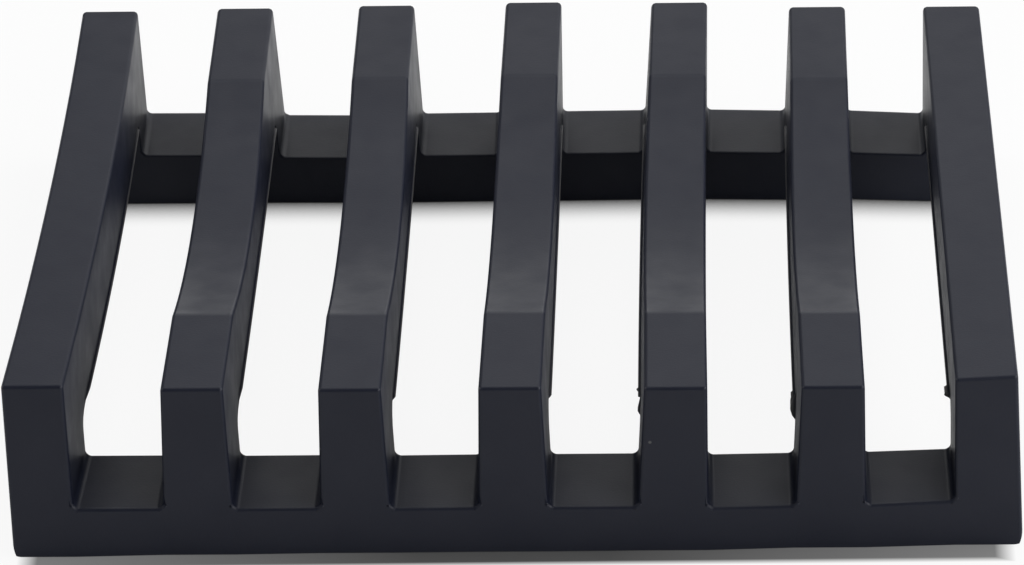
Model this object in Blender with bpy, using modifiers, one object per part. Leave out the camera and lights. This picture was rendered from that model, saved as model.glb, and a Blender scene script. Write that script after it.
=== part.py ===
"""Slatted soap dish in soft charcoal silicone: two cross rails and seven arched slats.

Metres, +Z up. The origin lies on the floor under the middle of the dish. +X runs across the slats
and +Y runs from the front rail to the rear rail.
"""
import math

import bmesh
import bpy

# Overall size
WIDTH = 0.115
DEPTH = 0.090
HEIGHT = 0.0222

# Cross rails
RAIL_HEIGHT = 0.0065
RAIL_DEPTH = 0.0112

# Slats, which narrow from the floor to their top so that the moulding leaves its tool
SLAT_COUNT = 7
SLAT_FOOT_WIDTH = 0.0082
SLAT_TOP_WIDTH = 0.0068
BEAM_LIFT = 0.0055

# Soap dip in the inner slats, between a flat land at the front and one at the rear
FRONT_LAND = 0.016
REAR_LAND = 0.019
DIP_DEPTH = 0.0041

# Rounding: at a slat's foot, under its ends, on its edges and at the rails' lower corners
FOOT_FILLET = 0.0010
KNEE_FILLET = 0.0015
EDGE_ROUND = 0.0005
CORNER_ROUND = 0.0013

# Gap between a rail's seat and the slat that stands on it
SEAM = 0.0003

# Fineness of the curved faces
DIP_STEPS = 18
FILLET_STEPS = 4
EDGE_STEPS = 3

# Finish
SILICONE_COLOUR = (0.022, 0.023, 0.027, 1.0)
SILICONE_ROUGHNESS = 0.55
WELD_DISTANCE = 0.000001
FLAT_ANGLE = math.radians(0.2)
SHARP_ANGLE = math.radians(30)

# Sizes that follow from the ones above
SEAT_HEIGHT = RAIL_HEIGHT + FOOT_FILLET
BEAM_UNDERSIDE = RAIL_HEIGHT + BEAM_LIFT
SLAT_PITCH = (WIDTH - SLAT_FOOT_WIDTH) / (SLAT_COUNT - 1)


def clear_scene():
    for obj in list(bpy.data.objects):
        bpy.data.objects.remove(obj)


def make_collection(name):
    collection = bpy.data.collections.new(name)
    bpy.context.scene.collection.children.link(collection)
    return collection


def silicone(name):
    """Matt charcoal silicone for one member."""
    material = bpy.data.materials.new(name)
    material.use_nodes = True
    shader = material.node_tree.nodes["Principled BSDF"]
    shader.inputs["Base Color"].default_value = SILICONE_COLOUR
    shader.inputs["Roughness"].default_value = SILICONE_ROUGHNESS
    shader.inputs["Metallic"].default_value = 0.0
    return material


def arc(centre, radius, start, end, steps):
    """Points on an arc from angle start to angle end, in degrees, both ends included."""
    points = []
    for i in range(steps + 1):
        angle = math.radians(start + (end - start) * i / steps)
        points.append((centre[0] + radius * math.cos(angle), centre[1] + radius * math.sin(angle)))
    return points


def half_slat(height):
    """Half of a slat's width at a height above the floor."""
    return (SLAT_FOOT_WIDTH + (SLAT_TOP_WIDTH - SLAT_FOOT_WIDTH) * height / HEIGHT) / 2


def slat_centres():
    return [(i - (SLAT_COUNT - 1) / 2) * SLAT_PITCH for i in range(SLAT_COUNT)]


def rail_outline():
    """The rail seen from the front: drafted ends, and a filleted seat under each slat."""
    left_end = -WIDTH / 2
    points = arc((left_end + CORNER_ROUND, CORNER_ROUND), CORNER_ROUND, 180, 270, FILLET_STEPS)
    points += [(-x, z) for x, z in reversed(points)]
    for number, centre in reversed(list(enumerate(slat_centres()))):
        half_seat = half_slat(SEAT_HEIGHT)
        right = centre + half_seat
        left = centre - half_seat
        if number < SLAT_COUNT - 1:
            points += arc((right + FOOT_FILLET, SEAT_HEIGHT), FOOT_FILLET, 270, 180, FILLET_STEPS)
        else:
            points.append((right, SEAT_HEIGHT))
        if number > 0:
            points += arc((left - FOOT_FILLET, SEAT_HEIGHT), FOOT_FILLET, 0, -90, FILLET_STEPS)
        else:
            points.append((left, SEAT_HEIGHT))
    return points


def dip_line():
    """The soap dip seen from the side, from its rear crease down and up to its front crease."""
    rear = DEPTH / 2 - REAR_LAND
    front = -DEPTH / 2 + FRONT_LAND
    half_span = (rear - front) / 2
    radius = (half_span ** 2 + DIP_DEPTH ** 2) / (2 * DIP_DEPTH)
    centre = ((rear + front) / 2, HEIGHT - DIP_DEPTH + radius)
    swing = math.degrees(math.asin(half_span / radius))
    return arc(centre, radius, -90 + swing, -90 - swing, DIP_STEPS)


def slat_outline(dished):
    """The slat seen from the side: a foot at each end, a flat underside, and a flat or dished top."""
    front = -DEPTH / 2
    rear = DEPTH / 2
    foot = SEAT_HEIGHT + SEAM
    knee = BEAM_UNDERSIDE - KNEE_FILLET
    points = [(front, foot), (front + RAIL_DEPTH, foot)]
    points += arc((front + RAIL_DEPTH + KNEE_FILLET, knee), KNEE_FILLET, 180, 90, FILLET_STEPS)
    points += arc((rear - RAIL_DEPTH - KNEE_FILLET, knee), KNEE_FILLET, 90, 0, FILLET_STEPS)
    points += [(rear - RAIL_DEPTH, foot), (rear, foot), (rear, HEIGHT)]
    if dished:
        points += dip_line()
    points.append((front, HEIGHT))
    return points


def solid_from_outline(name, outline, thickness, rotation, location, collection):
    """A flat outline given a thickness, as a welded mesh object in the member's own material."""
    curve = bpy.data.curves.new(name + "_outline", "CURVE")
    curve.dimensions = "2D"
    curve.fill_mode = "BOTH"
    curve.extrude = thickness / 2
    spline = curve.splines.new("POLY")
    spline.points.add(len(outline) - 1)
    for point, (across, up) in zip(spline.points, outline):
        point.co = (across, up, 0.0, 1.0)
    spline.use_cyclic_u = True
    guide = bpy.data.objects.new(name + "_outline", curve)
    guide.rotation_euler = rotation
    guide.location = location
    collection.objects.link(guide)
    bpy.context.view_layer.update()

    evaluated = guide.evaluated_get(bpy.context.evaluated_depsgraph_get())
    mesh = bpy.data.meshes.new_from_object(evaluated)
    mesh.name = name
    weld_and_flatten(mesh)
    solid = bpy.data.objects.new(name, mesh)
    solid.matrix_world = guide.matrix_world.copy()
    solid.data.materials.clear()
    solid.data.materials.append(silicone(name + "_silicone"))
    collection.objects.link(solid)
    bpy.data.objects.remove(guide)
    bpy.data.curves.remove(curve)
    return solid


def weld_and_flatten(mesh):
    """Join the loose caps to the wall, and turn each flat cap into one face."""
    bm = bmesh.new()
    bm.from_mesh(mesh)
    bmesh.ops.remove_doubles(bm, verts=bm.verts, dist=WELD_DISTANCE)
    bmesh.ops.dissolve_limit(bm, angle_limit=FLAT_ANGLE, verts=bm.verts, edges=bm.edges)
    bmesh.ops.recalc_face_normals(bm, faces=bm.faces)
    bm.to_mesh(mesh)
    bm.free()


def draft_sides(mesh):
    """Lean a slat's two side faces inwards towards its top."""
    for vertex in mesh.vertices:
        height = vertex.co.y
        vertex.co.z = math.copysign(half_slat(height), vertex.co.z)


def round_edges(solid, seat_level):
    """Round every sharp edge of a solid except those of the faces that meet at the seat level."""
    bm = bmesh.new()
    bm.from_mesh(solid.data)
    weight = bm.edges.layers.float.new("bevel_weight_edge")
    for edge in bm.edges:
        on_seat = all(abs(vertex.co.y - seat_level) < WELD_DISTANCE for vertex in edge.verts)
        if edge.calc_face_angle() > SHARP_ANGLE and not on_seat:
            edge[weight] = 1.0
    bm.to_mesh(solid.data)
    bm.free()
    bevel = solid.modifiers.new("rounded_edges", "BEVEL")
    bevel.limit_method = "WEIGHT"
    bevel.width = EDGE_ROUND
    bevel.segments = EDGE_STEPS
    solid.data.shade_smooth()
    solid.data.set_sharp_from_angle(angle=SHARP_ANGLE)


def make_rail(name, side, collection):
    """A cross rail at the front (side -1) or at the rear (side +1)."""
    location = (0.0, side * (DEPTH - RAIL_DEPTH) / 2, 0.0)
    facing = (math.pi / 2, 0.0, 0.0)
    rail = solid_from_outline(name, rail_outline(), RAIL_DEPTH, facing, location, collection)
    round_edges(rail, SEAT_HEIGHT)


def make_slat(number, centre, collection):
    """One slat: the two outer ones are flat topped, the others carry the dip."""
    dished = 0 < number < SLAT_COUNT - 1
    sideways = (math.pi / 2, 0.0, math.pi / 2)
    name = "slat_" + str(number + 1)
    location = (centre, 0.0, 0.0)
    slat = solid_from_outline(name, slat_outline(dished), SLAT_FOOT_WIDTH, sideways, location, collection)
    draft_sides(slat.data)
    round_edges(slat, SEAT_HEIGHT + SEAM)


def main():
    clear_scene()
    dish = make_collection("soap_dish")
    make_rail("front_rail", -1, dish)
    make_rail("rear_rail", 1, dish)
    for number, centre in enumerate(slat_centres()):
        make_slat(number, centre, dish)


main()
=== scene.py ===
"""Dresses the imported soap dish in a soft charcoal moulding, and sets it on a pale floor."""

import math

import bmesh
import bpy
from bpy.props import FloatProperty, FloatVectorProperty, IntProperty, PointerProperty
from mathutils import Matrix, Vector


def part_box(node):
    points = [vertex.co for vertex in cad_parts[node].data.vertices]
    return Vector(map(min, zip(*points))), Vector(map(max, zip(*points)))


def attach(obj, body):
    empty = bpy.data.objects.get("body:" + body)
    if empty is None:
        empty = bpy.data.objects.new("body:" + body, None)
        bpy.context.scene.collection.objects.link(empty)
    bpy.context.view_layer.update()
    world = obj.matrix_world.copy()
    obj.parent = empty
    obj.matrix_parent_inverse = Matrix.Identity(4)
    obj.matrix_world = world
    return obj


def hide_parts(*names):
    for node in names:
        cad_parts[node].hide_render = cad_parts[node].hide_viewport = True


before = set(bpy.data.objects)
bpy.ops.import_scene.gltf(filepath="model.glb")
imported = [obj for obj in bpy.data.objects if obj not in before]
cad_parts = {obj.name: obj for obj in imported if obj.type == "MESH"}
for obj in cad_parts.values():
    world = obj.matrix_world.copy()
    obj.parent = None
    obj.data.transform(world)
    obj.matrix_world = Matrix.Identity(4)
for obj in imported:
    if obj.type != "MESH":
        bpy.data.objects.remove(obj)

bl_info = {
    "name": "Slatted Soap Dish",
    "version": (1, 0, 0),
    "blender": (4, 5, 0),
    "location": "View3D > Sidebar > Soap Dish",
    "description": "Builds the skins, the finish and the studio of a slatted silicone soap dish",
    "category": "Add Mesh",
}

SLAT_COUNT = 7
RAIL_LOW, RAIL_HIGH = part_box("front_rail")
SLAT_LOW, SLAT_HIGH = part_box("slat_4")
MM = 0.001
TINY = 0.000001

# How closely a direction follows an axis to count as lying along it
ALIGNED = 0.9

# Angles between two faces, from which their edge counts as an inside corner, an outer edge and
# the sharp edge of a lip
INSIDE_CORNER = math.radians(60)
OUTER_EDGE = math.radians(40)
SHARP_LIP = math.radians(25)

# Margin within which a floor edge counts as lying at the dish's outer side
SIDE_MARGIN = 0.1 * MM

# Lip of flash: the length over which it ends at a beam's rear, and the cuts across the beams that
# its uneven front end needs
LIP_END = 0.1 * MM
LIP_CUTS = 24
LIP_CUT_STEP = 0.3 * MM

# Where the lip stands, in window roundings: up the side, and in over the underside
LIP_TOP = 0.9
LIP_INWARD = 1.1

# How steeply the lip tapers towards its top, and how much of it has to stand out for a sharp edge
LIP_TAPER = 2.2
LIP_SHARP_SHARE = 0.5

# Beads of mould flash on the beams' lower edges, in millimetres: slat from 0 at the left, side,
# front and rear end along the dish, and height. Each tapers over the bead end.
BEAD_END = 0.3
FLASH_BEADS = (
    (4, -1, -33.5, -32.6, 0.30),
    (4, -1, -30.1, -29.3, 0.20),
    (5, -1, -33.6, -30.2, 0.20),
    (6, -1, -32.3, -29.9, 0.30),
)

# Patterns in the silicone: features per metre, and levels of detail
CLOUDS = (130, 3)
DULL_PATCHES = (240, 4)
SLOW_SWELL = (90, 1)
SPARKED_GRAIN = (4200, 2)
LINT_SCALE = 75

# The stretch of each pattern's own value over which it passes from none to full
CLOUD_SPAN = (0.35, 0.65)
PATCH_SPAN = (0.3, 0.7)
SPECK_SPAN = (0.012, 0.020)
# The lips' painted highlight passes from none to full over this stretch of how far they stand out
LIP_HIGHLIGHT_SPAN = (0.3, 1)

# How far the dull patches move the roughness up and down
ROUGHNESS_SPREAD = 0.05

# Share of the dish's half width within which the shade in front of it is deepest
DEEPEST_SHARE = 0.2

# How open the floor under the dish is where its shade is deepest and where it ends, and the
# brightness that the white keeps at both
UNDER_OPENNESS = (0.5, 0.97)
UNDER_BRIGHTNESS = (0.02, 1)

# Sockets of the Mix node: its two colours and their result, and its two numbers
MIX_COLOURS = (6, 7)
MIX_COLOUR_RESULT = 2
MIX_NUMBERS = (2, 3)

# Weight of the even shading, at which the largest faces rule
LARGE_FACE_WEIGHT = 100

FLOOR_CELLS = 8
WHITE = (1, 1, 1, 1)

# Camera sensor in millimetres, and the nearest distance that the camera sees
SENSOR_WIDTH = 36
CLIP_START = 0.01


class SoapDishSizes(bpy.types.PropertyGroup):
    """Sizes of the moulding before it relaxes."""

    width: FloatProperty(
        name="Width",
        description="Across the slats, at the floor",
        default=RAIL_HIGH.x - RAIL_LOW.x,
        unit="LENGTH",
    )
    depth: FloatProperty(
        name="Depth",
        description="Along the slats, front to rear",
        default=SLAT_HIGH.y - SLAT_LOW.y,
        unit="LENGTH",
    )
    height: FloatProperty(
        name="Height",
        description="Floor to the top of the slats",
        default=SLAT_HIGH.z,
        unit="LENGTH",
    )
    rail_depth: FloatProperty(
        name="Rail depth",
        description="Front to rear size of a cross rail and of the feet on it",
        default=RAIL_HIGH.y - RAIL_LOW.y,
        unit="LENGTH",
    )
    rail_height: FloatProperty(
        name="Rail height",
        description="Floor to the top of a cross rail",
        default=6.5 * MM,
        unit="LENGTH",
    )
    foot_width: FloatProperty(
        name="Slat width at the floor",
        description="Width that a slat's two sides would have at floor level",
        default=8.2 * MM,
        unit="LENGTH",
    )
    top_width: FloatProperty(
        name="Slat width at the top",
        description="Width of a slat at its top, narrower so that it leaves the mould",
        default=7.0 * MM,
        unit="LENGTH",
    )
    beam_lift: FloatProperty(
        name="Beam lift",
        description="Height of a slat's underside over the rail tops",
        default=5.5 * MM,
        unit="LENGTH",
    )
    front_land: FloatProperty(
        name="Front land",
        description="Flat length at the front of a dished slat",
        default=16.0 * MM,
        unit="LENGTH",
    )
    rear_land: FloatProperty(
        name="Rear land",
        description="Flat length at the rear of a dished slat",
        default=19.0 * MM,
        unit="LENGTH",
    )
    dip_depth: FloatProperty(
        name="Dip depth",
        description="Depth of the soap dip in the inner slats",
        default=4.1 * MM,
        unit="LENGTH",
    )
    dip_steps: IntProperty(
        name="Dip steps",
        description="Cuts across a slat between its two creases",
        default=36,
        min=8,
    )
    rail_draft: FloatProperty(
        name="Rail draft",
        description="How much wider a rail is at the floor, on its inner side",
        default=0.5 * MM,
        unit="LENGTH",
    )
    foot_fillet: FloatProperty(
        name="Foot fillet",
        description="Inside radius at the slats' feet",
        default=0.8 * MM,
        unit="LENGTH",
    )
    knee_fillet: FloatProperty(
        name="Knee fillet",
        description="Inside radius under the slats' ends",
        default=2.5 * MM,
        unit="LENGTH",
    )
    edge_round: FloatProperty(
        name="Edge rounding",
        description="Rounding of the tops and of the front outline",
        default=0.45 * MM,
        unit="LENGTH",
    )
    floor_edge_round: FloatProperty(
        name="Floor edge rounding",
        description="Rounding of the edges that stand on the floor",
        default=0.25 * MM,
        unit="LENGTH",
    )
    rear_corner_round: FloatProperty(
        name="Rear corner rounding",
        description="Rounding of the upright edges at the slats' rear ends",
        default=0.75 * MM,
        unit="LENGTH",
    )
    bottom_corner_round: FloatProperty(
        name="Bottom corner rounding",
        description="Rounding of the rails' four lower ends",
        default=1.85 * MM,
        unit="LENGTH",
    )
    window_round: FloatProperty(
        name="Window edge rounding",
        description="Rounding of the lower edges round each gap",
        default=0.3 * MM,
        unit="LENGTH",
    )
    crease_round: FloatProperty(
        name="Crease rounding",
        description="Softening of the two creases of the dip",
        default=0.45 * MM,
        unit="LENGTH",
    )
    round_steps: IntProperty(
        name="Rounding steps",
        description="Faces across a rounded edge",
        default=4,
        min=2,
    )
    lip: FloatProperty(
        name="Flash lip",
        description="How far the thin lip along a beam's lower edge stands out, towards mid dish",
        default=0.38 * MM,
        unit="LENGTH",
    )
    outer_lip: FloatProperty(
        name="Outer flash lip",
        description="How far the lip stands out along a beam's other lower edge",
        default=0.1 * MM,
        unit="LENGTH",
    )
    seam_level: FloatProperty(
        name="Seam level",
        description="Height at which the skin passes from rail to slat",
        default=7.65 * MM,
        unit="LENGTH",
    )


def tenths(name, description, values):
    """One length for each slat or each gap, left to right, given in tenths of a millimetre."""
    return FloatVectorProperty(
        name=name,
        description=description,
        size=len(values),
        default=[value * 0.1 * MM for value in values],
        unit="LENGTH",
    )


class SoapDishEase(bpy.types.PropertyGroup):
    """How the soft slats have relaxed, slat by slat from left to right."""

    front_lean: tenths(
        "Lean at the front",
        "Sideways shift of a slat's front top, to the right",
        (1, 2, 0, 0, 6, 2, -6),
    )
    rear_lean: tenths(
        "Lean at the rear",
        "Sideways shift of a slat's rear top, to the right",
        (4, -4, -4, 3, 8, 2, -9),
    )
    bow: tenths(
        "Bow",
        "Sideways shift of a slat's middle, to the right",
        (7, 1.7, 1, 0.3, -2.4, -2, 0.3),
    )
    front_foot: tenths(
        "Front foot",
        "How far back a slat's front foot stands",
        (-5, -2, 0, 1, 2, 6, 10),
    )
    front_tip: tenths(
        "Front tip",
        "How far back a slat's front top stands",
        (7, -1, -4, -3, -5, -5, 12),
    )
    rear_foot: tenths(
        "Rear foot",
        "How far back a slat's rear foot stands",
        (13, 12, 10, 11, 12, 8, 0),
    )
    rear_tip: tenths(
        "Rear tip",
        "How far back a slat's rear top stands",
        (-3, 2, 6, 11, 7, -8, -10),
    )
    front_heel: tenths(
        "Front heel",
        "Sideways shift of a slat's front foot, to the right",
        (-3.5, 0, 0, 0, 0, 0, 3.5),
    )
    rear_heel: tenths(
        "Rear heel",
        "Sideways shift of a slat's rear foot, to the right",
        (0, 0, -2, -5, 0, 1, 0),
    )
    front_skew: tenths(
        "Front skew",
        "How much further back the right side of a slat's front top stands",
        (0, 0, 0, 0, 0, 0, 3),
    )
    front_sag: tenths(
        "Front rail sag",
        "How much lower the front rail is, gap by gap",
        (2, 3, 4, 4, 6, 5),
    )
    rear_sag: tenths(
        "Rear rail sag",
        "How much lower the rear rail is, gap by gap",
        (-2, 2, 0, -1, -1, 0),
    )
    lip_past: tenths(
        "Lip past the knee",
        "How far a slat's lip of flash runs on past the start of its front knee",
        (0, 0, 0, 0, 0, 23, 10),
    )
    lip_fade: tenths(
        "Lip fade",
        "Length over which a slat's lip of flash ends under its front knee",
        (50, 50, 8, 8, 1, 1, 1),
    )
    left_tuck: FloatProperty(
        name="Left tuck",
        description="How far the left outer side is drawn in at the floor",
        default=1.0 * MM,
        unit="LENGTH",
    )
    right_tuck: FloatProperty(
        name="Right tuck",
        description="How far the right outer side is drawn in at the floor",
        default=0.55 * MM,
        unit="LENGTH",
    )


class SoapDishFinish(bpy.types.PropertyGroup):
    """Colour and surface of the charcoal silicone."""

    colour: FloatVectorProperty(
        name="Colour",
        description="Base colour of the silicone",
        subtype="COLOR",
        size=4,
        default=(0.0078, 0.0098, 0.0205, 1.0),
    )
    mottle_colour: FloatVectorProperty(
        name="Mottle colour",
        description="Colour of the faint lighter clouds in the silicone",
        subtype="COLOR",
        size=4,
        default=(0.0098, 0.0118, 0.0228, 1.0),
    )
    # The lips of flash get a lighter colour as a painted highlight, where their edge catches the
    # light
    lip_highlight_colour: FloatVectorProperty(
        name="Worn colour",
        description="Colour of the rubbed lips of flash",
        subtype="COLOR",
        size=4,
        default=(0.130, 0.126, 0.122, 1.0),
    )
    dust_colour: FloatVectorProperty(
        name="Dust colour",
        description="Colour of the sparse specks of lint",
        subtype="COLOR",
        size=4,
        default=(0.10, 0.10, 0.10, 1.0),
    )
    roughness: FloatProperty(
        name="Roughness",
        description="Mean roughness of the matt surface",
        default=0.40,
        subtype="FACTOR",
    )
    gloss_level: FloatProperty(
        name="Gloss level",
        description="Strength of the surface reflection, 0.5 being that of plain plastic",
        default=0.29,
        subtype="FACTOR",
    )
    grain_depth: FloatProperty(
        name="Grain depth",
        description="Depth of the fine sparked texture of the mould",
        default=0.012 * MM,
        unit="LENGTH",
        precision=6,
    )
    swell_depth: FloatProperty(
        name="Swell depth",
        description="Depth of the slow unevenness of the soft faces",
        default=0.05 * MM,
        unit="LENGTH",
        precision=6,
    )


class SoapDishStudio(bpy.types.PropertyGroup):
    """Floor, light and camera."""

    floor_colour: FloatVectorProperty(
        name="Floor colour",
        description="Colour of the pale floor",
        subtype="COLOR",
        size=4,
        default=(0.86, 0.86, 0.86, 1.0),
    )
    floor_size: FloatProperty(
        name="Floor size",
        description="Width of the floor",
        default=6.0,
        unit="LENGTH",
    )
    floor_lift: FloatProperty(
        name="Floor lift",
        description="How much of the floor is plain white to the camera",
        default=0.9,
        subtype="FACTOR",
    )
    floor_reflected_lift: FloatProperty(
        name="Reflected floor lift",
        description="How much of the floor is plain white in a reflection or through glass",
        default=0.03,
        subtype="FACTOR",
    )
    contact_reach: FloatProperty(
        name="Contact shadow reach",
        description="How far the soft shade round the dish's feet reaches",
        default=6.0 * MM,
        unit="LENGTH",
    )
    contact_shade: FloatProperty(
        name="Contact shade",
        description="Brightness that the white keeps in front of the dish, in its middle",
        default=0.037,
        subtype="FACTOR",
    )
    contact_end_shade: FloatProperty(
        name="Contact shade at the ends",
        description="Brightness that the white keeps in front of the dish, near its two ends",
        default=0.17,
        subtype="FACTOR",
    )
    contact_ends: FloatVectorProperty(
        name="Contact shade ends",
        description="Distances from mid dish between which the contact shade gives out sideways",
        size=2,
        default=(53.6 * MM, 56.4 * MM),
        unit="LENGTH",
    )
    front_shade_end: FloatVectorProperty(
        name="Front shade end",
        description="Places between which the shade in front of the dish gives out",
        size=2,
        default=(-47.7 * MM, -46.7 * MM),
        unit="LENGTH",
    )
    front_shade_slant: FloatProperty(
        name="Front shade slant",
        description="Slant of that end. Below 0, it comes nearer to the dish towards the right",
        default=-0.008,
        subtype="FACTOR",
    )
    front_rail_span: FloatVectorProperty(
        name="Under the front rail",
        description="Places between which the front's shade passes into the rear's, out of sight",
        size=2,
        default=(-42.0 * MM, -36.0 * MM),
        unit="LENGTH",
    )
    surround: FloatVectorProperty(
        name="Surround",
        description="Soft light that comes from all round",
        subtype="COLOR",
        size=4,
        default=(0.13, 0.132, 0.135, 1.0),
    )
    reflected_white: FloatProperty(
        name="Reflected white",
        description="How much of the surroundings is plain white in a reflection or through glass",
        default=0.12,
        subtype="FACTOR",
    )
    top_lamp: FloatVectorProperty(
        name="Top lamp",
        description="Place of the large soft lamp over and a little behind the dish",
        subtype="TRANSLATION",
        size=3,
        default=(0.1, 0.35, 0.85),
    )
    top_power: FloatProperty(
        name="Top power",
        description="Power of the lamp over the dish",
        default=3.25,
        subtype="POWER",
    )
    top_size: FloatProperty(
        name="Top size",
        description="Side of the square lamp over the dish",
        default=0.9,
        unit="LENGTH",
    )
    right_lamp: FloatVectorProperty(
        name="Right lamp",
        description="Place of the soft main lamp, to the right of the dish",
        subtype="TRANSLATION",
        size=3,
        default=(0.8, 0.1, 0.45),
    )
    right_power: FloatProperty(
        name="Right power",
        description="Power of the main lamp",
        default=4.8,
        subtype="POWER",
    )
    left_lamp: FloatVectorProperty(
        name="Left lamp",
        description="Place of the soft fill lamp, to the left of the dish",
        subtype="TRANSLATION",
        size=3,
        default=(-0.8, 0.1, 0.45),
    )
    left_power: FloatProperty(
        name="Left power",
        description="Power of the fill lamp on the left",
        default=3.0,
        subtype="POWER",
    )
    front_lamp: FloatVectorProperty(
        name="Front lamp",
        description="Place of the soft fill lamp in front of the dish, to the right",
        subtype="TRANSLATION",
        size=3,
        default=(0.75, -0.6, 0.42),
    )
    front_power: FloatProperty(
        name="Front power",
        description="Power of the fill lamp in front",
        default=3.55,
        subtype="POWER",
    )
    back_lamp: FloatVectorProperty(
        name="Back lamp",
        description="Place of the low soft lamp behind the dish, which lights the dip's front end",
        subtype="TRANSLATION",
        size=3,
        default=(0.1, 0.95, 0.2),
    )
    back_power: FloatProperty(
        name="Back power",
        description="Power of the lamp behind the dish",
        default=0.82,
        subtype="POWER",
    )
    side_size: FloatProperty(
        name="Side lamp size",
        description="Side of the four square lamps round the dish",
        default=0.6,
        unit="LENGTH",
    )
    camera_turn: FloatProperty(
        name="Camera turn",
        description="Turn of the view about the upright axis",
        default=math.radians(2.6014),
        subtype="ANGLE",
    )
    camera_drop: FloatProperty(
        name="Camera drop",
        description="Angle at which the view looks down",
        default=math.radians(30.9276),
        subtype="ANGLE",
    )
    camera_roll: FloatProperty(
        name="Camera roll",
        description="Roll of the view about its own axis",
        default=math.radians(-1.7562),
        subtype="ANGLE",
    )
    camera_distance: FloatProperty(
        name="Camera distance",
        description="Distance to the middle of the dish, along the view",
        default=0.62455,
        unit="LENGTH",
    )
    camera_right: FloatProperty(
        name="Dish to the right",
        description="How far right of the view's axis the middle of the dish lies",
        default=1.426 * MM,
        unit="LENGTH",
    )
    camera_up: FloatProperty(
        name="Dish above",
        description="How far above the view's axis the middle of the dish lies",
        default=2.07 * MM,
        unit="LENGTH",
    )
    focal_length: FloatProperty(
        name="Focal length",
        description="Focal length in millimetres on a 36 mm wide sensor",
        default=184.1,
        unit="CAMERA",
    )


def slat_pitch(sizes):
    return (sizes.width - sizes.foot_width) / (SLAT_COUNT - 1)


def slat_centre(sizes, number):
    """Middle of a slat across the dish; the slats are numbered 0 to 6 from the left."""
    return (number - (SLAT_COUNT - 1) / 2) * slat_pitch(sizes)


def nearest_slat(sizes, x):
    number = round(x / slat_pitch(sizes) + (SLAT_COUNT - 1) / 2)
    return min(max(number, 0), SLAT_COUNT - 1)


def half_slat(sizes, z):
    """Half of a slat's width at a height."""
    return (sizes.foot_width + (sizes.top_width - sizes.foot_width) * z / sizes.height) / 2


def over_a_slat(sizes, x):
    return abs(x - slat_centre(sizes, nearest_slat(sizes, x))) < sizes.foot_width / 2


def beam_underside(sizes):
    return sizes.rail_height + sizes.beam_lift


def crease_places(sizes):
    """Front and rear crease of the dip, along the dish."""
    return -sizes.depth / 2 + sizes.front_land, sizes.depth / 2 - sizes.rear_land


def is_dished(number):
    return 0 < number < SLAT_COUNT - 1


def cut(bm, place, direction, **clear):
    """Cut the whole mesh with a plane and return the edges that lie in it."""
    everything = bm.verts[:] + bm.edges[:] + bm.faces[:]
    found = bmesh.ops.bisect_plane(
        bm, geom=everything, dist=TINY, plane_co=place, plane_no=direction, **clear
    )
    return [item for item in found["geom_cut"] if isinstance(item, bmesh.types.BMEdge)]


def front_rail_bar(sizes):
    """The front cross rail as a bar that is cut across at both sides of every foot."""
    bm = bmesh.new()
    place = Matrix.Translation((0, (sizes.rail_depth - sizes.depth) / 2, sizes.rail_height / 2))
    shape = Matrix.Diagonal((sizes.width, sizes.rail_depth, sizes.rail_height, 1))
    bmesh.ops.create_cube(bm, size=1, matrix=place @ shape)
    for number in range(SLAT_COUNT):
        for side in (-1, 1):
            x = slat_centre(sizes, number) + side * sizes.foot_width / 2
            if abs(x) < sizes.width / 2 - TINY:
                cut(bm, (x, 0, 0), (1, 0, 0))
    return bm


def raise_posts(bm, sizes):
    """Pull each foot up to the beam's underside, and from there to the slat's top."""
    for level in (beam_underside(sizes), sizes.height):
        bm.normal_update()
        tops = [
            face
            for face in bm.faces
            if face.normal.z > ALIGNED and over_a_slat(sizes, face.calc_center_median().x)
        ]
        for face in bmesh.ops.extrude_discrete_faces(bm, faces=tops)["faces"]:
            lift = level - face.verts[0].co.z
            bmesh.ops.translate(bm, verts=face.verts, vec=(0, 0, lift))


def bridge_beams(bm, sizes):
    """Join every front post to the rear post behind it with a beam."""
    bm.normal_update()
    low = beam_underside(sizes)
    ends = [[] for _ in range(SLAT_COUNT)]
    for face in bm.faces:
        middle = face.calc_center_median()
        inward = face.normal.y * middle.y < 0 and abs(face.normal.y) > ALIGNED
        if inward and middle.z > low:
            ends[nearest_slat(sizes, middle.x)].append(face)
    for pair in ends:
        rims = [edge for face in pair for edge in face.edges]
        bmesh.ops.delete(bm, geom=pair, context="FACES_ONLY")
        bmesh.ops.bridge_loops(bm, edges=rims)


def dip_drop(sizes, y):
    """Depth of the dip at a place along the dish: an arc from crease to crease."""
    front, rear = crease_places(sizes)
    half = (rear - front) / 2
    radius = (half ** 2 + sizes.dip_depth ** 2) / (2 * sizes.dip_depth)
    return math.sqrt(radius ** 2 - (y - (front + rear) / 2) ** 2) - (radius - sizes.dip_depth)


def hollow_dip(bm, sizes):
    """Cut across all the beams, then lower the tops of the inner ones along the arc."""
    front, rear = crease_places(sizes)
    for step in range(sizes.dip_steps + 1):
        y = front + (rear - front) * step / sizes.dip_steps
        cut(bm, (0, y, 0), (0, 1, 0))
    for vert in bm.verts:
        on_top = vert.co.z > sizes.height - TINY
        if on_top and front < vert.co.y < rear and is_dished(nearest_slat(sizes, vert.co.x)):
            vert.co.z -= dip_drop(sizes, vert.co.y)


def draft_sides(bm, sizes):
    """Lean every side face inwards towards the top."""
    for vert in bm.verts:
        centre = slat_centre(sizes, nearest_slat(sizes, vert.co.x))
        vert.co.x = centre + math.copysign(half_slat(sizes, vert.co.z), vert.co.x - centre)


def draft_rails(bm, sizes):
    """Lean the rails' inner faces, so that the rails are wider at the floor."""
    inner = sizes.depth / 2 - sizes.rail_depth
    for vert in bm.verts:
        if vert.co.z < TINY and abs(vert.co.y) < inner + TINY:
            vert.co.y -= math.copysign(sizes.rail_draft, vert.co.y)


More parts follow.
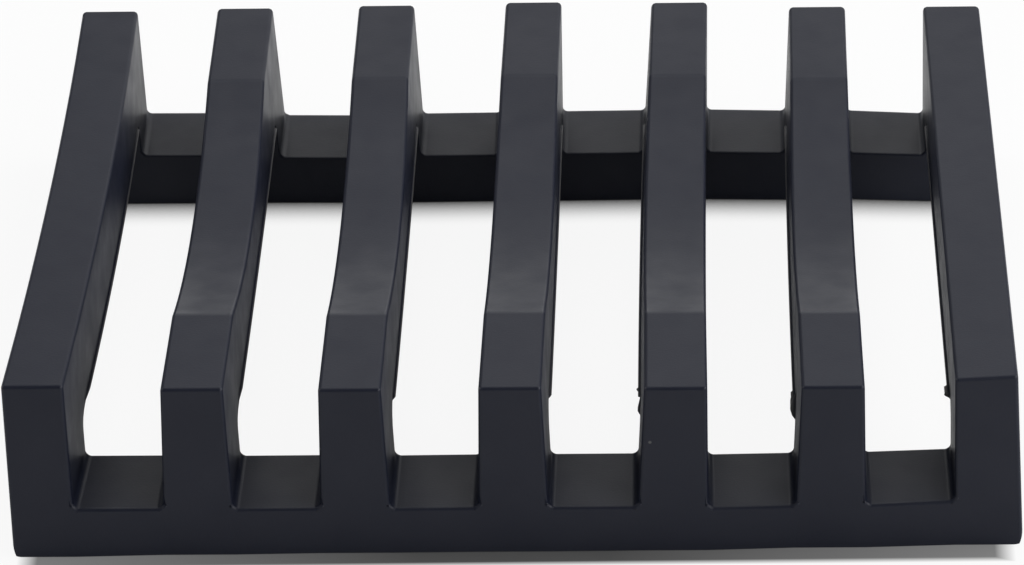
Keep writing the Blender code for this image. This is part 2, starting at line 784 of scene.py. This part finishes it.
def sag_rails(bm, sizes, ease):
    """Lower the rail tops a little, gap by gap."""
    for vert in bm.verts:
        if abs(vert.co.z - sizes.rail_height) < TINY:
            gap = math.floor(vert.co.x / slat_pitch(sizes) + (SLAT_COUNT - 1) / 2)
            if 0 <= gap < SLAT_COUNT - 1:
                sag = ease.front_sag if vert.co.y < 0 else ease.rear_sag
                vert.co.z -= sag[gap]


def fillet_inside(bm, sizes):
    """Round the inside corners at the slats' feet, then those under their ends."""
    halfway = sizes.rail_height + sizes.beam_lift / 2
    for radius, above in ((sizes.foot_fillet, False), (sizes.knee_fillet, True)):
        bm.normal_update()
        inside = [
            edge
            for edge in bm.edges
            if edge.calc_face_angle_signed(0) < -INSIDE_CORNER
            and (edge.verts[0].co.z > halfway) == above
        ]
        bmesh.ops.bevel(
            bm,
            geom=inside,
            offset=radius,
            offset_type="OFFSET",
            segments=sizes.round_steps + 1,
            profile=0.5,
            affect="EDGES",
            material=-1,
        )


def rounding_of(edge, sizes):
    """How much an edge is rounded; 0 leaves it as it is."""
    middle = (edge.verts[0].co + edge.verts[1].co) / 2
    along = (edge.verts[1].co - edge.verts[0].co).normalized()
    creases = crease_places(sizes)
    if edge.calc_face_angle_signed(0) < OUTER_EDGE:
        on_top = all(abs(vert.co.z - sizes.height) < TINY for vert in edge.verts)
        at_crease = any(abs(middle.y - crease) < TINY for crease in creases)
        dished = is_dished(nearest_slat(sizes, middle.x))
        is_crease = on_top and at_crease and dished and abs(along.x) > ALIGNED
        return sizes.crease_round if is_crease else 0
    at_side = abs(middle.x) > sizes.width / 2 - SIDE_MARGIN
    if middle.z < TINY and abs(along.y) > ALIGNED and at_side:
        return sizes.bottom_corner_round
    at_rear = middle.y > sizes.depth / 2 - TINY
    if at_rear and middle.z > sizes.rail_height and abs(along.x) < ALIGNED:
        return sizes.rear_corner_round
    if middle.z < TINY:
        return sizes.floor_edge_round
    inner = abs(middle.y) < sizes.depth / 2 - sizes.rail_depth + TINY
    if inner and middle.z < beam_underside(sizes) + TINY:
        return sizes.window_round
    return sizes.edge_round


def round_outside(bm, sizes):
    """Round every outer edge by its own amount, and return the rounded mesh."""
    bm.normal_update()
    widest = sizes.bottom_corner_round
    weight = bm.edges.layers.float.new("bevel_weight_edge")
    for edge in bm.edges:
        edge[weight] = rounding_of(edge, sizes) / widest
    mesh = bpy.data.meshes.new("unrounded")
    bm.to_mesh(mesh)
    bm.free()
    helper = bpy.data.objects.new("unrounded", mesh)
    bpy.context.collection.objects.link(helper)
    bevel = helper.modifiers.new("rounding", "BEVEL")
    bevel.limit_method = "WEIGHT"
    bevel.width = widest
    bevel.segments = sizes.round_steps
    bevel.use_clamp_overlap = False
    rounded = bmesh.new()
    evaluated = helper.evaluated_get(bpy.context.evaluated_depsgraph_get())
    rounded.from_mesh(evaluated.to_mesh())
    evaluated.to_mesh_clear()
    bpy.data.objects.remove(helper)
    bpy.data.meshes.remove(mesh)
    return rounded


def raise_lips(bm, sizes, ease, beads):
    """Push a thin lip of flash out of the beams' lower side edges, with a few thicker beads.

    How far the skin was pushed out stays on it as the attribute "lip", from 0 to 1.
    """
    low = beam_underside(sizes)
    reach = sizes.depth / 2 - sizes.rail_depth - sizes.knee_fillet
    pushed = bm.verts.layers.float.new("lip")
    for y in (-reach, reach, LIP_END - reach, reach - LIP_END):
        cut(bm, (0, y, 0), (0, 1, 0))
    for step in range(LIP_CUTS):
        cut(bm, (0, LIP_CUT_STEP * step - reach - sizes.knee_fillet, 0), (0, 1, 0))
    for vert in bm.verts:
        number = nearest_slat(sizes, vert.co.x)
        away = vert.co.x - slat_centre(sizes, number)
        above = (vert.co.z - low) / sizes.window_round
        inner_end = half_slat(sizes, low) - LIP_INWARD * sizes.window_round
        if above > LIP_TOP or abs(away) < inner_end:
            continue
        inward = (away > 0) == (number <= SLAT_COUNT // 2)
        past = abs(vert.co.y) - reach
        fade = LIP_END
        if vert.co.y < 0:
            past -= ease.lip_past[number]
            fade = ease.lip_fade[number]
        out = (sizes.lip if inward else sizes.outer_lip) * min(max(0.5 - past / fade, 0), 1)
        for slat, side, front, rear, height in beads:
            if slat == number and side * away > 0:
                inside = min(vert.co.y / MM - front, rear - vert.co.y / MM)
                out += min(max(inside / BEAD_END, 0), 1) * height * MM
        if vert.co.z > low - sizes.knee_fillet:
            out *= min(1, LIP_TAPER * (LIP_TOP - above))
            vert.co.x += math.copysign(out, away)
            vert[pushed] = min(out / sizes.lip, 1)
    for edge in bm.edges:
        on_lip = any(vert[pushed] > LIP_SHARP_SHARE for vert in edge.verts)
        if on_lip and edge.calc_face_angle(0) > SHARP_LIP:
            edge.smooth = False


def relax(bm, sizes, ease):
    """Lean, bow and shift each slat a little, as the soft moulding has settled."""
    for vert in bm.verts:
        number = nearest_slat(sizes, vert.co.x)
        across = (vert.co.x - slat_centre(sizes, number)) / half_slat(sizes, vert.co.z)
        back = vert.co.y / sizes.depth + 0.5
        up = vert.co.z / sizes.height
        risen = max(vert.co.z - sizes.rail_height, 0) / (sizes.height - sizes.rail_height)
        lean = ease.front_lean[number] * (1 - back) + ease.rear_lean[number] * back
        front = ease.front_foot[number] * (1 - up) + ease.front_tip[number] * up
        front += ease.front_skew[number] * up * across
        rear = ease.rear_foot[number] * (1 - risen) + ease.rear_tip[number] * risen
        heel = ease.front_heel[number] * (1 - back) ** 2 + ease.rear_heel[number] * back ** 2
        vert.co.x += up * lean + (1 - up) * heel + 4 * back * (1 - back) * ease.bow[number]
        vert.co.y += front * (1 - back) + rear * back
        if number == 0 and across < 0:
            vert.co.x += ease.left_tuck * (1 - up) * min(-across, 1)
        if number == SLAT_COUNT - 1 and across > 0:
            vert.co.x -= ease.right_tuck * (1 - up) * min(across, 1)


def moulding(scene):
    """The whole dish as one closed skin."""
    sizes = scene.soap_dish_sizes
    bm = front_rail_bar(sizes)
    raise_posts(bm, sizes)
    bmesh.ops.mirror(bm, geom=bm.verts[:] + bm.edges[:] + bm.faces[:], merge_dist=0, axis="Y")
    bmesh.ops.recalc_face_normals(bm, faces=bm.faces)
    bridge_beams(bm, sizes)
    bmesh.ops.recalc_face_normals(bm, faces=bm.faces)
    hollow_dip(bm, sizes)
    sag_rails(bm, sizes, scene.soap_dish_ease)
    draft_sides(bm, sizes)
    draft_rails(bm, sizes)
    fillet_inside(bm, sizes)
    bm = round_outside(bm, sizes)
    raise_lips(bm, sizes, scene.soap_dish_ease, FLASH_BEADS)
    relax(bm, sizes, scene.soap_dish_ease)
    return bm


def part_of(skin, sizes, above, belongs):
    """The part of the skin on one side of the seam level whose points pass the test, closed off."""
    part = skin.copy()
    level = (0, 0, sizes.seam_level)
    rim = cut(part, level, (0, 0, 1), clear_inner=above, clear_outer=not above)
    bmesh.ops.edgeloop_fill(part, edges=rim)
    for edge in rim:
        edge.smooth = False
    strays = [vert for vert in part.verts if not belongs(vert.co)]
    bmesh.ops.delete(part, geom=strays, context="VERTS")
    bmesh.ops.recalc_face_normals(part, faces=part.faces)
    for face in part.faces:
        face.smooth = True
    return part


def finish_piece(name, bm, node):
    """Make a skin the object that stands for its node, in the charcoal silicone."""
    mesh = bpy.data.meshes.new(name)
    bm.to_mesh(mesh)
    bm.free()
    mesh.materials.append(bpy.data.materials["charcoal_silicone"])
    piece = bpy.data.objects.new(name, mesh)
    bpy.context.collection.objects.link(piece)
    even = piece.modifiers.new("even_shading", "WEIGHTED_NORMAL")
    even.weight = LARGE_FACE_WEIGHT
    even.keep_sharp = True
    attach(piece, "root")
    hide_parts(node)


def node_of(tree, kind, label, **values):
    """A new node with its label, and with values for its properties."""
    node = tree.nodes.new(kind)
    node.label = label
    for key, value in values.items():
        setattr(node, key, value)
    return node


def feed(tree, socket, value):
    """Give a socket its value, which may be fixed or another node's output."""
    if isinstance(value, bpy.types.NodeSocket):
        tree.links.new(value, socket)
    else:
        socket.default_value = value


def maths_of(tree, operation, label, *values):
    """One step of arithmetic on numbers or sockets."""
    found = node_of(tree, "ShaderNodeMath", label, operation=operation)
    for socket, value in zip(found.inputs, values):
        feed(tree, socket, value)
    return found.outputs[0]


def noise_of(tree, coordinates, label, scale, detail):
    """Noise on the dish's own coordinates, its scale in features per metre."""
    found = node_of(tree, "ShaderNodeTexNoise", label)
    found.inputs["Scale"].default_value = scale
    found.inputs["Detail"].default_value = detail
    tree.links.new(coordinates, found.inputs["Vector"])
    return found.outputs["Fac"]


def range_of(tree, value, label, source, target):
    """A value mapped from one range onto another, and held inside it."""
    found = node_of(tree, "ShaderNodeMapRange", label)
    ends = ("From Min", "From Max", "To Min", "To Max")
    for name, end in zip(ends, (*source, *target)):
        feed(tree, found.inputs[name], end)
    tree.links.new(value, found.inputs["Value"])
    return found.outputs["Result"]


def colour_mix(tree, factor, label, first, second):
    """Two colours mixed by a factor; either may be a fixed colour or a socket."""
    found = node_of(tree, "ShaderNodeMix", label, data_type="RGBA")
    tree.links.new(factor, found.inputs["Factor"])
    for index, colour in zip(MIX_COLOURS, (first, second)):
        feed(tree, found.inputs[index], colour)
    return found.outputs[MIX_COLOUR_RESULT]


def bump_of(tree, height, label, depth, below=None):
    """A bump of a real depth, laid over another one where given."""
    found = node_of(tree, "ShaderNodeBump", label)
    found.inputs["Distance"].default_value = depth
    tree.links.new(height, found.inputs["Height"])
    if below:
        tree.links.new(below, found.inputs["Normal"])
    return found.outputs["Normal"]


class SOAPDISH_OT_finish(bpy.types.Operator):
    """Make the charcoal silicone: fine grain, faint clouds, a few specks of lint, and a painted
    highlight on the lips of flash
    """

    bl_idname = "soapdish.finish"
    bl_label = "Charcoal Silicone"

    def execute(self, context):
        finish = context.scene.soap_dish_finish
        material = bpy.data.materials.new("charcoal_silicone")
        material.use_nodes = True
        tree = material.node_tree
        shader = tree.nodes["Principled BSDF"]
        shader.inputs["Specular IOR Level"].default_value = finish.gloss_level
        coordinates = node_of(tree, "ShaderNodeTexCoord", "place").outputs["Object"]

        clouds = noise_of(tree, coordinates, "clouds", *CLOUDS)
        clouds = range_of(tree, clouds, "cloud strength", CLOUD_SPAN, (0, 1))
        base = colour_mix(tree, clouds, "clouded", finish.colour, finish.mottle_colour)

        lint = node_of(tree, "ShaderNodeTexVoronoi", "lint")
        lint.inputs["Scale"].default_value = LINT_SCALE
        tree.links.new(coordinates, lint.inputs["Vector"])
        specks = range_of(tree, lint.outputs["Distance"], "specks", SPECK_SPAN, (1, 0))
        base = colour_mix(tree, specks, "specked", base, finish.dust_colour)
        # Painted highlight on the lips of flash: lighter where they stand out, in place of the
        # light their edge catches
        lips = node_of(tree, "ShaderNodeAttribute", "lips", attribute_name="lip")
        highlighted = range_of(tree, lips.outputs["Fac"], "highlighted", LIP_HIGHLIGHT_SPAN, (0, 1))
        base = colour_mix(tree, highlighted, "painted_lip_highlight", base, finish.lip_highlight_colour)
        tree.links.new(base, shader.inputs["Base Color"])

        patches = noise_of(tree, coordinates, "dull patches", *DULL_PATCHES)
        span = (finish.roughness - ROUGHNESS_SPREAD, finish.roughness + ROUGHNESS_SPREAD)
        patches = range_of(tree, patches, "roughness", PATCH_SPAN, span)
        tree.links.new(patches, shader.inputs["Roughness"])

        swell = noise_of(tree, coordinates, "slow swell", *SLOW_SWELL)
        grain = noise_of(tree, coordinates, "sparked grain", *SPARKED_GRAIN)
        normal = bump_of(tree, swell, "swell", finish.swell_depth)
        normal = bump_of(tree, grain, "grain", finish.grain_depth, normal)
        tree.links.new(normal, shader.inputs["Normal"])
        return {"FINISHED"}


class SOAPDISH_OT_rails(bpy.types.Operator):
    """Lay the skins of the front and the rear cross rail over their nodes"""

    bl_idname = "soapdish.rails"
    bl_label = "Cross Rails"

    def execute(self, context):
        sizes = context.scene.soap_dish_sizes
        skin = moulding(context.scene)
        front = part_of(skin, sizes, False, lambda place: place.y < 0)
        rear = part_of(skin, sizes, False, lambda place: place.y > 0)
        skin.free()
        finish_piece("front_rail_skin", front, "front_rail")
        finish_piece("rear_rail_skin", rear, "rear_rail")
        return {"FINISHED"}


class SOAPDISH_OT_slats(bpy.types.Operator):
    """Lay the skins of the seven slats over their nodes"""

    bl_idname = "soapdish.slats"
    bl_label = "Slats"

    def execute(self, context):
        sizes = context.scene.soap_dish_sizes
        skin = moulding(context.scene)
        for number in range(SLAT_COUNT):
            slat = part_of(
                skin, sizes, True, lambda place: nearest_slat(sizes, place.x) == number
            )
            name = "slat_" + str(number + 1)
            finish_piece(name + "_skin", slat, name)
        skin.free()
        return {"FINISHED"}


def ways_of_looking(tree):
    """Two factors: 1 where the camera looks straight, and 1 in a reflection or through glass."""
    looks = node_of(tree, "ShaderNodeLightPath", "who looks").outputs
    glossy, through = looks["Is Glossy Ray"], looks["Is Transmission Ray"]
    indirect = maths_of(tree, "MAXIMUM", "reflected or through glass", glossy, through)
    return looks["Is Camera Ray"], indirect


def sum_of(tree, label, first, first_share, second, second_share):
    """Two factors, each taken by its share, added up."""
    scaled = maths_of(tree, "MULTIPLY", label + " share", second, second_share)
    return maths_of(tree, "MULTIPLY_ADD", label, first, first_share, scaled)


def front_brightness(tree, studio, beside, place):
    """Brightness that the white keeps in front of the dish: a painted shadow, a dark strip with a
    plain end.
    """
    near = studio.contact_ends[0]
    kept = (studio.contact_shade, studio.contact_end_shade)
    span = (DEEPEST_SHARE * near, near)
    deepest = range_of(tree, beside, "shade along the front", span, kept)
    slant = studio.front_shade_slant
    line = maths_of(tree, "MULTIPLY_ADD", "slanted line", place["X"], slant, place["Y"])
    return range_of(tree, line, "in front", studio.front_shade_end, (1, deepest))


def white_kept(tree, studio):
    """Brightness of the floor's own white, with painted shade: lowered in front of the dish and
    near its feet.
    """
    corners = node_of(tree, "ShaderNodeAmbientOcclusion", "near the feet")
    corners.inputs["Distance"].default_value = studio.contact_reach
    split = node_of(tree, "ShaderNodeSeparateXYZ", "place")
    tree.links.new(node_of(tree, "ShaderNodeTexCoord", "place").outputs["Object"], split.inputs[0])
    place = split.outputs
    beside = maths_of(tree, "ABSOLUTE", "from mid dish", place["X"])
    front = front_brightness(tree, studio, beside, place)
    openness = corners.outputs["AO"]
    rear = range_of(tree, openness, "under the dish", UNDER_OPENNESS, UNDER_BRIGHTNESS)
    span = studio.front_rail_span
    under = range_of(tree, place["Y"], "from the front rail", span, (0, 1))
    contact = node_of(tree, "ShaderNodeMix", "contact shade", data_type="FLOAT")
    tree.links.new(under, contact.inputs["Factor"])
    for index, brightness in zip(MIX_NUMBERS, (front, rear)):
        tree.links.new(brightness, contact.inputs[index])
    open_floor = range_of(tree, beside, "beside the dish", studio.contact_ends, (0, 1))
    return maths_of(tree, "MAXIMUM", "floor shade", contact.outputs[0], open_floor)


def floor_material(studio):
    """A pale matt floor that shows near white to the camera; the dish's shadow on it is partly real
    and partly painted shade in its own white.
    """
    material = bpy.data.materials.new("pale_floor")
    material.use_nodes = True
    tree = material.node_tree
    tree.nodes.remove(tree.nodes["Principled BSDF"])
    matt = node_of(tree, "ShaderNodeBsdfDiffuse", "matt")
    matt.inputs["Color"].default_value = studio.floor_colour
    white = node_of(tree, "ShaderNodeEmission", "own white")
    tree.links.new(white_kept(tree, studio), white.inputs["Strength"])

    straight, indirect = ways_of_looking(tree)
    lift = sum_of(
        tree, "lift", straight, studio.floor_lift, indirect, studio.floor_reflected_lift
    )
    mix = node_of(tree, "ShaderNodeMixShader", "seen white")
    tree.links.new(lift, mix.inputs["Fac"])
    tree.links.new(matt.outputs[0], mix.inputs[1])
    tree.links.new(white.outputs[0], mix.inputs[2])
    tree.links.new(mix.outputs[0], tree.nodes["Material Output"].inputs["Surface"])
    return material


def soft_lamp(name, place, power, size):
    """A square soft lamp that faces the middle of the dish."""
    light = bpy.data.lights.new(name, "AREA")
    light.shape = "SQUARE"
    light.size = size
    light.energy = power
    lamp = bpy.data.objects.new(name, light)
    lamp.location = place
    lamp.rotation_euler = (-Vector(place)).to_track_quat("-Z", "Y").to_euler()
    bpy.context.collection.objects.link(lamp)


class SOAPDISH_OT_stage(bpy.types.Operator):
    """Set up the pale floor, the soft lamps and the white surroundings"""

    bl_idname = "soapdish.stage"
    bl_label = "Floor and Light"

    def execute(self, context):
        studio = context.scene.soap_dish_studio
        bm = bmesh.new()
        half = studio.floor_size / 2
        bmesh.ops.create_grid(bm, x_segments=FLOOR_CELLS, y_segments=FLOOR_CELLS, size=half)
        mesh = bpy.data.meshes.new("floor")
        bm.to_mesh(mesh)
        bm.free()
        mesh.materials.append(floor_material(studio))
        floor = bpy.data.objects.new("floor", mesh)
        context.collection.objects.link(floor)

        soft_lamp("top_lamp", studio.top_lamp, studio.top_power, studio.top_size)
        soft_lamp("right_lamp", studio.right_lamp, studio.right_power, studio.side_size)
        soft_lamp("left_lamp", studio.left_lamp, studio.left_power, studio.side_size)
        soft_lamp("front_lamp", studio.front_lamp, studio.front_power, studio.side_size)
        soft_lamp("back_lamp", studio.back_lamp, studio.back_power, studio.side_size)

        world = bpy.data.worlds.new("surroundings")
        world.use_nodes = True
        tree = world.node_tree
        straight, indirect = ways_of_looking(tree)
        seen = sum_of(tree, "seen", straight, 1, indirect, studio.reflected_white)
        colour = colour_mix(tree, seen, "seen white", studio.surround, WHITE)
        tree.links.new(colour, tree.nodes["Background"].inputs["Color"])
        context.scene.world = world
        context.scene.view_settings.view_transform = "Standard"
        return {"FINISHED"}


class SOAPDISH_OT_camera(bpy.types.Operator):
    """Place the camera at the photograph's viewing angle"""

    bl_idname = "soapdish.camera"
    bl_label = "Camera"

    def execute(self, context):
        studio = context.scene.soap_dish_studio
        sizes = context.scene.soap_dish_sizes
        data = bpy.data.cameras.new("photo_camera")
        data.sensor_fit = "HORIZONTAL"
        data.sensor_width = SENSOR_WIDTH
        data.lens = studio.focal_length
        data.clip_start = CLIP_START
        camera = bpy.data.objects.new("photo_camera", data)
        turn = (
            Matrix.Rotation(studio.camera_turn, 4, "Z")
            @ Matrix.Rotation(math.pi / 2 - studio.camera_drop, 4, "X")
        )
        offset = Vector((-studio.camera_right, -studio.camera_up, studio.camera_distance))
        middle = Matrix.Translation((0, 0, sizes.height / 2))
        roll = Matrix.Rotation(studio.camera_roll, 4, "Z")
        camera.matrix_world = middle @ turn @ Matrix.Translation(offset) @ roll
        context.collection.objects.link(camera)
        context.scene.camera = camera
        return {"FINISHED"}


class SOAPDISH_PT_panel(bpy.types.Panel):
    """Steps and settings of the soap dish"""

    bl_idname = "SOAPDISH_PT_panel"
    bl_label = "Soap Dish"
    bl_space_type = "VIEW_3D"
    bl_region_type = "UI"
    bl_category = "Soap Dish"

    def draw(self, context):
        layout = self.layout
        for step in STEPS:
            layout.operator(step.bl_idname)
        scene = context.scene
        for group in (
            scene.soap_dish_sizes,
            scene.soap_dish_ease,
            scene.soap_dish_finish,
            scene.soap_dish_studio,
        ):
            column = layout.box().column()
            for name in group.__annotations__:
                column.prop(group, name)


STEPS = (
    SOAPDISH_OT_camera,
    SOAPDISH_OT_finish,
    SOAPDISH_OT_rails,
    SOAPDISH_OT_slats,
    SOAPDISH_OT_stage,
)
GROUPS = {
    "soap_dish_sizes": SoapDishSizes,
    "soap_dish_ease": SoapDishEase,
    "soap_dish_finish": SoapDishFinish,
    "soap_dish_studio": SoapDishStudio,
}


def register():
    for name, group in GROUPS.items():
        bpy.utils.register_class(group)
        setattr(bpy.types.Scene, name, PointerProperty(type=group))
    for cls in (*STEPS, SOAPDISH_PT_panel):
        bpy.utils.register_class(cls)


def unregister():
    for cls in (SOAPDISH_PT_panel, *reversed(STEPS)):
        bpy.utils.unregister_class(cls)
    for name, group in reversed(GROUPS.items()):
        delattr(bpy.types.Scene, name)
        bpy.utils.unregister_class(group)


def main():
    """Build everything in order."""
    register()
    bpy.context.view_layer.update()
    bpy.ops.soapdish.camera()
    bpy.ops.soapdish.finish()
    bpy.ops.soapdish.rails()
    bpy.ops.soapdish.slats()
    bpy.ops.soapdish.stage()


if __name__ == "__main__":
    main()
